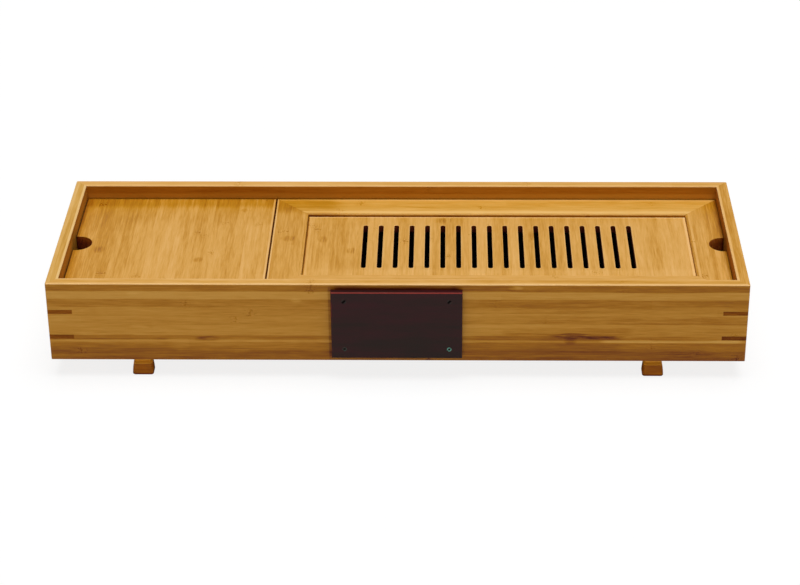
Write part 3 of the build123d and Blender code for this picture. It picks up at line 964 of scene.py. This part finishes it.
# %% Finger notch outline
notch_radius = 15.0
mouth_radius = 1.0


def arc(centre, radius, start, end, steps):
    """Points on a circle from one angle to another, in degrees."""
    angle = np.radians(np.linspace(start, end, steps))[:, None]
    return np.array(centre) + radius * np.concatenate([np.cos(angle), np.sin(angle)], axis=1)


def rounded_rectangle(low, high, radius, steps=8):
    """Anticlockwise from the lower left: four quarter circles, joined by the straight sides."""
    centres = [(low[0], low[1]), (high[0], low[1]), (high[0], high[1]), (low[0], high[1])]
    insides = [(1, 1), (-1, 1), (-1, -1), (1, -1)]
    return np.concatenate([
        arc(np.array(centre) + radius * np.array(inside), radius, 180 + 90 * k, 270 + 90 * k, steps)
        for k, (centre, inside) in enumerate(zip(centres, insides))
    ])


def notch_curve(edge_x, middle_y, side, straight):
    """The notch's points. Side is -1 at a board's left edge, 1 at its right edge."""
    wide = notch_radius + mouth_radius
    at_left = np.concatenate([
        arc((mouth_radius, wide), mouth_radius, 180, 270, 5),
        arc((straight, 0), notch_radius, 90, -90, 41),
        arc((mouth_radius, -wide), mouth_radius, 90, 180, 5),
    ])
    return np.array([edge_x, middle_y]) - side * at_left


print("notch:", 2 * notch_radius, "wide")

# %% [markdown]
# The lid is one plain board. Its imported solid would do, but a flat bevel doesn't catch the light as a
# rounded arris does, so its skin is a rounded rectangle with a notch, carried up once.

# %% Storage lid piece
lid_notch_straight = 3.4
lid_corner = 1.0

lid_low, lid_high = box_mm("storage_lid")
middle_y = (lid_low[1] + lid_high[1]) / 2
lid_outline = np.concatenate([
    rounded_rectangle(lid_low, lid_high, lid_corner, 4),
    notch_curve(lid_low[0], middle_y, -1, lid_notch_straight),
])
lid_eases = np.full(len(lid_outline), edge_ease)
lid = stack_piece("lid_board", eased_rings(lid_outline, lid_eases, lid_low[2], lid_high[2]))
hand_over(lid, "storage_lid", "storage_lid")

# %% [markdown]
# The rails are mitred trapezoids. Inside runs the groove that the panel floats in, so on the inner
# edge the skin steps into the wood and out again on its way up. Bevelled beams cut to a mitre with
# booleans would look alike, but each edge could then not have its own radius.

# %% Tray rails
rail_bead = 1.2
mitre_ease = 0.06
tray_notch_straight = 1.4
groove_depth = 6.0
groove_play = 0.2
tongue_inset = 2.0         # the panel's tongue lies this far inside both its faces

panel_low, panel_high = box_mm("slotted_panel")
groove_low, groove_top = panel_low[2] + tongue_inset, panel_high[2] - tongue_inset + groove_play


def rail_piece(node, corners, notch=None):
    """A rail from its four corners in plan: outer edge first, then mitre, inner edge, mitre."""
    low, high = box_mm(node)
    outline = np.array(corners, dtype=float)
    eases = np.array([edge_ease, mitre_ease, rail_bead, mitre_ease])
    if notch is not None:
        outline = np.concatenate([outline[:1], notch, outline[1:]])
        eases = np.concatenate([np.full(len(notch) + 1, edge_ease), eases[1:]])
    inner_edge = np.arange(len(outline)) == len(outline) - 2
    into, _ = corner_moves(outline, np.where(inner_edge, groove_depth, 0.0))
    out = 0 * outline
    sides = [(groove_low, out), (groove_low, into), (groove_top, into), (groove_top, out)]
    piece = stack_piece(node + "_board", eased_rings(outline, eases, low[2], high[2], sides))
    hand_over(piece, node, "drain_tray")


left, front, _ = box_mm("tray_rail_left")[0]
right, back, _ = box_mm("tray_rail_right")[1]
rail_width = box_mm("tray_rail_left")[1][0] - left
outer = np.array([(left, front), (right, front), (right, back), (left, back)])
inner = outer + rail_width * np.array([(1, 1), (-1, 1), (-1, -1), (1, -1)])
for side, name in enumerate(("front", "right", "back", "left")):
    ahead = (side + 1) % 4
    notch = notch_curve(right, middle_y, 1, tray_notch_straight) if name == "right" else None
    rail_piece(f"tray_rail_{name}", [outer[side], outer[ahead], inner[ahead], inner[side]], notch)

# %% [markdown]
# ## Slotted panel
# The panel is a field of equal cells, each a slot in the middle of a narrow strip. In a cell every
# point of the slot's edge has a partner on the strip's border, and the skin runs from border to slot
# across the top, down the slot and back to the border underneath. Cutting eighteen slots out of one
# slab with booleans would work too, but leaves long thin faces that shade badly.

# %% A cell of the panel
slot_ease = 0.3
slot_flat_start = 1.1      # where the flat top starts, in eases
slot_margin = 1.5          # a ring of the faces lies this far outside the slot
tongue_reach = 5.4         # past the panel's face
face_low, face_high = panel_low[:2] + tongue_reach, panel_high[:2] - tongue_reach
face_middle = (face_low + face_high) / 2
face_half = (face_high - face_low) / 2


def quarter_of_cell(border_half):
    """A quarter of a cell: the slot's edge from its side to its end, the outward normals there, and
    the partners on the border, half of the end's up the strip's side and half across its end."""
    along = np.linspace(0, slot_straight, 5)
    angle = np.radians(np.linspace(0, 90, 9))[1:]
    edge_x = np.concatenate([np.full(5, slot_half_width), slot_half_width * np.cos(angle)])
    edge_y = np.concatenate([along, slot_straight + slot_half_width * np.sin(angle)])
    normal_x = np.concatenate([np.ones(5), np.cos(angle)])
    normal_y = np.concatenate([np.zeros(5), np.sin(angle)])
    up = np.linspace(slot_straight, border_half, 5)[1:]
    border_x = np.concatenate([np.full(9, slot_pitch / 2), np.linspace(slot_pitch / 2, 0, 5)[1:]])
    border_y = np.concatenate([along, up, np.full(4, border_half)])
    return np.array([edge_x, edge_y, normal_x, normal_y, border_x, border_y])


def whole_of_cell(border_half):
    """The quarter mirrored to a whole loop, anticlockwise, as edge, normal and border points."""
    first = quarter_of_cell(border_half)
    across = np.array([-1, 1, -1, 1, -1, 1])[:, None]
    half = np.concatenate([first, (first * across)[:, -2::-1]], axis=1)
    loop = np.concatenate([half, (half * np.array([1, -1] * 3)[:, None])[:, -2:0:-1]], axis=1)
    return loop[0:2].T, loop[2:4].T, loop[4:6].T


def cell_rings():
    """Rings from the border over the top, down the slot and back to the border underneath."""
    top, low = panel_high[2], panel_low[2]
    edge, normal, border_top = whole_of_cell(face_half[1] - edge_ease)
    border_low = whole_of_cell(face_half[1])[2]
    margin = edge + slot_margin * normal
    flat_edge = edge + slot_flat_start * slot_ease * normal
    rings = [level(border_top, top), level(margin, top), level(flat_edge, top)]
    for t in np.radians(np.linspace(90, 0, 5)):
        rings.append(level(edge + slot_ease * (1 - np.cos(t)) * normal, top - slot_ease * (1 - np.sin(t))))
    rings += [level(edge, low), level(margin, low), level(border_low, low)]
    return np.array(rings)


print("cell rings and points:", cell_rings().shape[:2])

# %% [markdown]
# Beside the cells the panel has plain margins at its ends, and a tongue all round. Both start from the
# points on the cells' borders, so that no gap is left between the parts.

# %% Margins and border
margin_steps = 6
slot_x = face_middle[0] + slot_pitch * (np.arange(slot_count) - (slot_count - 1) / 2)


def sheet(x_values, y_values, z, faces_up):
    """A flat grid and its quads."""
    x, y = np.meshgrid(x_values, y_values, indexing="ij")
    points = np.stack([x, y, np.full_like(x, z)], axis=-1).reshape(-1, 3)
    rows, columns = len(x_values), len(y_values)
    corner = (np.arange(rows - 1)[:, None] * columns + np.arange(columns - 1)[None, :]).reshape(-1)
    quads = np.stack([corner, corner + columns, corner + columns + 1, corner + 1], axis=1)
    return points, quads if faces_up else quads[:, ::-1]


def border_loop(x_values, y_values):
    """The points round a grid, anticlockwise, and which way is out at each."""
    across, up = np.arange(len(x_values)), np.arange(len(y_values))
    column = np.concatenate([across[:-1], 0 * up[1:] + across[-1], across[:0:-1], 0 * up[1:]])
    row = np.concatenate([0 * across[1:], up[:-1], 0 * across[1:] + up[-1], up[:0:-1]])
    out_x = 1.0 * (column == across[-1]) - (column == 0)
    out_y = 1.0 * (row == up[-1]) - (row == 0)
    return np.column_stack([x_values[column], y_values[row]]), np.column_stack([out_x, out_y])


def margins(z, inset, faces_up):
    """The plain sheets at both ends of a face that stops short of the full one by the inset, and the
    loop of points round the face, cells included."""
    border = whole_of_cell(face_half[1] - inset)[2]
    y_values = np.unique(border[np.isclose(border[:, 0], slot_pitch / 2), 1]) + face_middle[1]
    across = np.unique(np.round(border[np.isclose(border[:, 1], border[:, 1].max()), 0], 6))
    start = np.linspace(face_low[0] + inset, slot_x[0] - slot_pitch / 2, margin_steps)
    finish = np.linspace(slot_x[-1] + slot_pitch / 2, face_high[0] - inset, margin_steps)
    between = (slot_x[:, None] + across[None, 1:]).reshape(-1)
    sheets = [sheet(ends, y_values, z, faces_up) for ends in (start, finish)]
    return sheets, border_loop(np.concatenate([start, between, finish[1:]]), y_values)


print("margins in steps of", round((face_half[0] - slot_field) / (margin_steps - 1), 2))

# %% [markdown]
# The panel is then put together from its cells, the sheets at its ends above and below, and a profile
# carried round its border. These touch but share no points, so they are welded when the mesh is made.

# %% Slotted panel piece
def all_cells():
    """One cell's rings, set down at every slot."""
    rings = cell_rings()
    levels, count = rings.shape[:2]
    places = np.stack([slot_x, np.full(slot_count, face_middle[1]), 0 * slot_x], axis=1)
    cells = rings[None] + places[:, None, None]
    shifts = np.arange(slot_count)[:, None, None] * levels * count
    return cells.reshape(-1, 3), (ring_faces(levels, count)[None] + shifts).reshape(-1, 4)


def edge_and_tongue(face_loop, full_loop, out):
    """The profile carried round the border: over the eased edge, down to the tongue, out, down, in
    again and down to the underside."""
    top, low = panel_high[2], panel_low[2]
    tongue = full_loop + tongue_reach * out
    tongue_top, tongue_low = top - tongue_inset, low + tongue_inset
    profile = [
        level(face_loop + (full_loop - face_loop) * np.sin(t), top - edge_ease * (1 - np.cos(t)))
        for t in np.radians(np.linspace(0, 90, 5))
    ]
    profile += [level(full_loop, tongue_top), level(tongue, tongue_top), level(tongue, tongue_low)]
    profile += [level(full_loop, tongue_low), level(full_loop, low)]
    return np.concatenate(profile), ring_faces(len(profile), len(full_loop))[:, ::-1]


top_sheets, (face_loop, _) = margins(panel_high[2], edge_ease, True)
low_sheets, (full_loop, out) = margins(panel_low[2], 0.0, False)
parts = [all_cells(), *top_sheets, *low_sheets, edge_and_tongue(face_loop, full_loop, out)]
starts = np.cumsum([0] + [len(points) for points, _ in parts[:-1]])
panel_points = np.concatenate([points for points, _ in parts])
panel_faces = np.concatenate([faces + start for (_, faces), start in zip(parts, starts)])
panel = mesh_piece("slotted_board", panel_points, panel_faces.tolist())
hand_over(panel, "slotted_panel", "drain_tray")

# %% [markdown]
# ## Feet
# A foot is a short block, wider at the sole, whose face leans back and steps in at a shoulder. Its
# outline is a rounded rectangle at every height. The profile starts in the screw's hole, comes down
# it, crosses the sole, climbs the outside and closes on the hole again, so the block stays a closed
# skin with a real counterbore. A tapered and bevelled box would need a boolean for that.

# %% Foot pieces
foot_corner = 2.4
corner_loss = 0.6         # how much its radius shrinks per millimetre of inset
toe_radius = 1.8          # where the face and sides meet the sole
sole_width = 21.5
neck_width = 15.4
flare = 1.7               # 1 is a straight taper, more keeps the foot wide further up
face_lean = 1.6
shoulder_depth = 2.0
shoulder_profile = (       # height, and how far the face has stepped in there
    (6.0, 0.0), (10.0, 0.0), (12.8, 0.0), (13.3, 0.04), (13.7, 0.3), (15.0, 1.6), (15.4, 1.9),
    (15.9, shoulder_depth), (18.0, shoulder_depth),
)
bore_radius, bore_depth, shank_radius = 4.2, 9.0, 1.95
bore_bevel = 0.3


def foot_piece(node, facing):
    """Facing is -1 for a front foot, 1 for a back one."""
    low, high = box_mm(node)
    middle = (low + high) / 2
    height = high[2] - low[2]
    depth_half = (high[1] - low[1]) / 2

    def section(z, inset=0.0, step=0.0):
        """The outline at a height, moved in by the inset, its face also by the step."""
        share = z / height
        half = (sole_width + (neck_width - sole_width) * share ** flare) / 2 - inset
        face = depth_half - face_lean * share - inset - step
        back = depth_half - inset
        y_low, y_high = (-face, back) if facing < 0 else (-back, face)
        corner = foot_corner - corner_loss * inset
        return level(rounded_rectangle((-half, y_low), (half, y_high), corner), z)

    sides = len(section(0.0))
    angle = np.radians(225 + 360 * np.arange(sides) / sides)
    circle = np.column_stack([np.cos(angle), np.sin(angle)])
    rings = [
        level(shank_radius * circle, height),
        level(shank_radius * circle, bore_depth),
        level(bore_radius * circle, bore_depth),
        level(bore_radius * circle, bore_bevel),
        level((bore_radius + bore_bevel) * circle, 0.0),
    ]
    for t in np.radians(np.linspace(0, 90, 6)):
        rings.append(section(toe_radius * (1 - np.cos(t)), toe_radius * (1 - np.sin(t))))
    rings += [section(z, 0.0, step) for z, step in shoulder_profile]
    rings.append(section(height, 0.0, shoulder_depth))
    rings = np.array(rings) + np.array([middle[0], middle[1], low[2]])
    piece = stack_piece(node + "_block", rings, capped=False)
    hand_over(piece, node, "case")


for corner in ("front_left", "front_right", "back_left", "back_right"):
    foot_piece(f"foot_{corner}", -1 if corner.startswith("front") else 1)

# %% [markdown]
# ## Water pan
# The pan is thin moulded plastic: a drafted tub with a flange whose edge is turned down. One profile
# carried round a rounded rectangle makes both of its sides, from the floor inside, up the wall, over
# the flange, round the lip and down the outside. A box with a solidify modifier would be quicker, but
# all of its radii would be alike.

# %% Water pan piece
pan_wall = 2.0
pan_flange = 6.0
pan_lip = 4.0
pan_outer_corner = 24.0
pan_draft = math.tan(math.radians(5))
pan_floor_radius = 5.0
pan_rounding = 0.8         # of the flange and the lip
root_ease = 0.4            # where the flange meets lip and wall underneath
root_start, root_end = 0.1, 0.2    # how far that ease reaches out and in from the wall's face

pan_low, pan_high = box_mm("water_pan")
pan_height = pan_high[2] - pan_low[2]
tub_wall = pan_flange + pan_wall
inner_foot = tub_wall + pan_draft * (pan_height - pan_wall)
outer_foot = pan_flange + pan_draft * pan_height
outer_floor_radius = pan_floor_radius - 1
under_flange = pan_height - pan_wall
lip_low = under_flange - pan_lip + pan_rounding
pan_arcs = (               # centre as (inset, height), radius, from one angle to another
    (inner_foot + pan_floor_radius, pan_wall + pan_floor_radius, pan_floor_radius, 270, 185),
    (tub_wall - pan_rounding, pan_height - pan_rounding, pan_rounding, 5, 90),
    (pan_rounding, pan_height - pan_rounding, pan_rounding, 90, 180),
    (pan_rounding, lip_low, pan_rounding, 180, 270),
    (pan_wall - pan_rounding, lip_low, pan_rounding, 270, 360),
)
pan_profile = [arc((inset, height), *rest, 6) for inset, height, *rest in pan_arcs]
pan_profile += [
    [(pan_wall, under_flange - root_ease), (pan_wall + root_ease, under_flange)],
    [(pan_flange - root_start, under_flange), (pan_flange + root_end, under_flange - root_ease)],
    arc((outer_foot + outer_floor_radius, outer_floor_radius), outer_floor_radius, 185, 270, 6),
]
pan_rings = np.array([
    level(
        rounded_rectangle(pan_low[:2] + inset, pan_high[:2] - inset, pan_outer_corner - inset, 12),
        pan_low[2] + z,
    )
    for inset, z in np.concatenate(pan_profile)[::-1]
])
pan = stack_piece("pan_moulding", pan_rings)
hand_over(pan, "water_pan", "water_pan")

# %% [markdown]
# ## Floor, world and lamp
# The table stands on white paper under one broad overhead light. What the camera sees of the paper is
# mostly lifted to white, which leaves a soft, pale shadow. A shadow catcher would do that too, but the
# paper also has to light the front of the case from below, as it would in a studio.

# %% Paper floor
floor_reach = 12.0
paper_white = 0.88
paper_roughness = 0.9
paper_lift = 0.84         # how much of the paper's white is there in its shadows too

bpy.ops.mesh.primitive_plane_add(size=2 * floor_reach)
floor = bpy.context.object
floor.name = "floor"
floor_material, tree, shader = new_material("paper_floor")
coat(shader, (paper_white, paper_white, paper_white, 1), paper_roughness, 0.0)
camera_ray = Value(tree.nodes.new("ShaderNodeLightPath").outputs["Is Camera Ray"])
shade = 1 - paper_lift
shaded = add_node(tree, "ShaderNodeBsdfDiffuse", (("Color", (shade, shade, shade, 1)),))[0]
lift = add_node(tree, "ShaderNodeEmission", (("Strength", paper_lift),))[0]
lifted = add_node(tree, "ShaderNodeAddShader", ((0, shaded), (1, lift)))[0]
paper = Value(shader.outputs[0])
either = add_node(tree, "ShaderNodeMixShader", ((0, camera_ray), (1, paper), (2, lifted)))[0]
feed(next(n for n in tree.nodes if n.type == "OUTPUT_MATERIAL").inputs["Surface"], either)
floor.data.materials.append(floor_material)
print("floor reaches", floor_reach, "metres each way")

# %% [markdown]
# The world is nearly black as a light, so that the lamp alone models the table. The camera sees it
# white, and a glossy face sees it at half strength, which gives the lacquer its faint sheen.

# %% World
world_light = 0.06
glossy_share = 0.5

world = bpy.data.worlds.new("studio")
bpy.context.scene.world = world
world.use_nodes = True
sky = next(n for n in world.node_tree.nodes if n.type == "BACKGROUND")
sky.inputs["Color"].default_value = (1, 1, 1, 1)
paths = world.node_tree.nodes.new("ShaderNodeLightPath").outputs
straight = calc("MAXIMUM", Value(paths["Is Camera Ray"]), Value(paths["Is Transmission Ray"]))
seen = calc("MAXIMUM", straight, Value(paths["Is Glossy Ray"]) * glossy_share)
feed(sky.inputs["Strength"], seen * (1.0 - world_light) + world_light)
print("world as a light:", world_light)

# %% [markdown]
# The lamp is a sun with a wide disc: a broad light without an edge, which lights the paper evenly out
# to the horizon. Area lamps would do too, but they fade with distance. A sun's strength is in watts
# per square metre, and pi of them on white paper reflect as white.

# %% Overhead light
lamp_white = 0.97
lamp_disc = math.radians(48)
lamp_tilt = math.radians(3)

overhead = bpy.data.lights.new("overhead", "SUN")
overhead.energy = lamp_white * math.pi
overhead.angle = lamp_disc
overhead_holder = bpy.data.objects.new("overhead", overhead)
bpy.context.scene.collection.objects.link(overhead_holder)
overhead_holder.rotation_euler = (lamp_tilt, lamp_tilt, 0)
bpy.context.scene.view_settings.view_transform = "Standard"
print("lamp in watts per square metre:", round(overhead.energy, 3))
